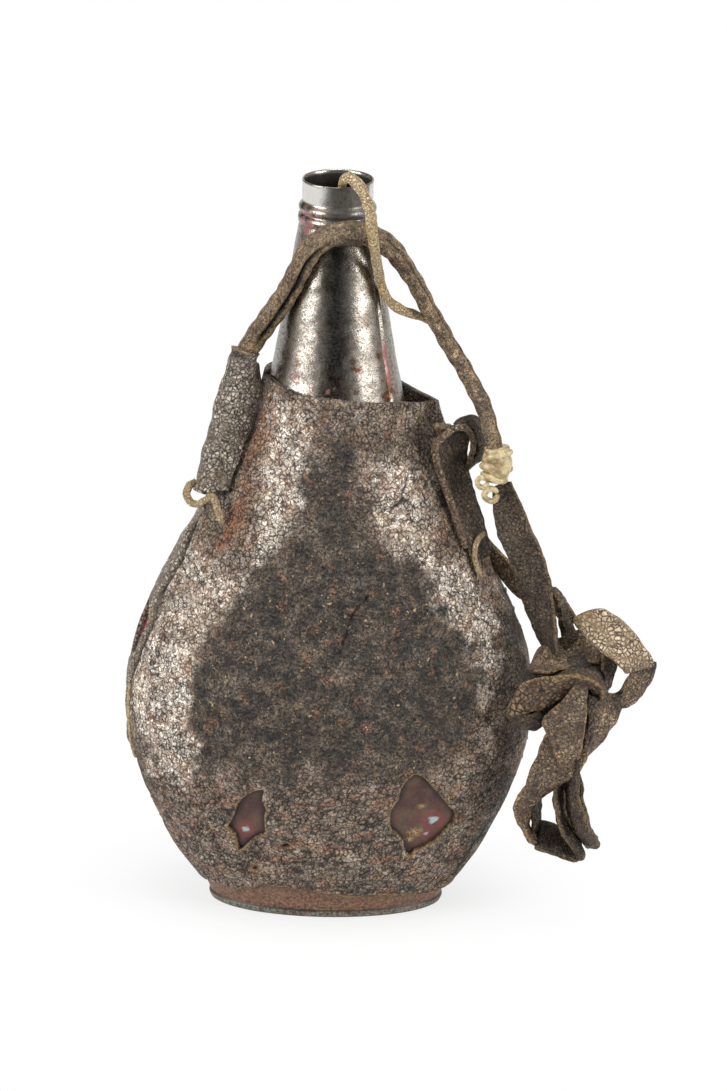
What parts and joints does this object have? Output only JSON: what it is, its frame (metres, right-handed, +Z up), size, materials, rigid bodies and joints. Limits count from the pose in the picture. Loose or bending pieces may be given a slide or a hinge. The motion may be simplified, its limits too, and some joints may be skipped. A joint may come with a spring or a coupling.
{
  "type": "water flask",
  "caption": "Pear-shaped tin water flask with a long conical neck and rolled mouth, in a worn stitched leather cover, a rolled carrying strap, a rawhide knot and a hanging bundle of strap",
  "frame": {"origin": "the centre of the flat base, on the surface the flask stands on", "axes": "+Z up along the neck; -Y is the front, with the two torn holes; +X is the side with the strap bundle"},
  "size_m": [0.1912, 0.0866, 0.2759],
  "materials": {
    "painted_tin": "old dark red-brown paint on tinned sheet, worn to bare metal in spots",
    "bare_tin": "dull mottled tinned sheet with rust stains",
    "cover_leather": "dry cracked pebbled leather, dark, with grey worn zones and rust coloured patches",
    "strap_leather": "crumpled dry strap leather with tan crackle along its edges",
    "rawhide": "pale dry rawhide",
    "thread": "waxed linen thread"
  },
  "bodies": {
    "root": {"body_front_shell": "painted_tin", "body_back_shell": "painted_tin", "base_tray": "bare_tin", "neck_cone": "bare_tin", "mouth_collar": "bare_tin", "jacket_front": "cover_leather", "jacket_back": "cover_leather", "left_seam_strip": "cover_leather", "strap_sleeve": "strap_leather", "left_tie": "strap_leather", "neck_strap": "strap_leather", "carry_strap": "strap_leather", "strap_bundle": "strap_leather", "return_strap": "strap_leather", "right_tab": "strap_leather", "tab_loop": "strap_leather", "right_tie": "strap_leather", "rawhide_knot": "rawhide", "mouth_lace": "rawhide", "seam_stitches_left": "thread", "seam_stitches_right": "thread", "sleeve_stitches": "thread"}
  },
  "joints": []
}
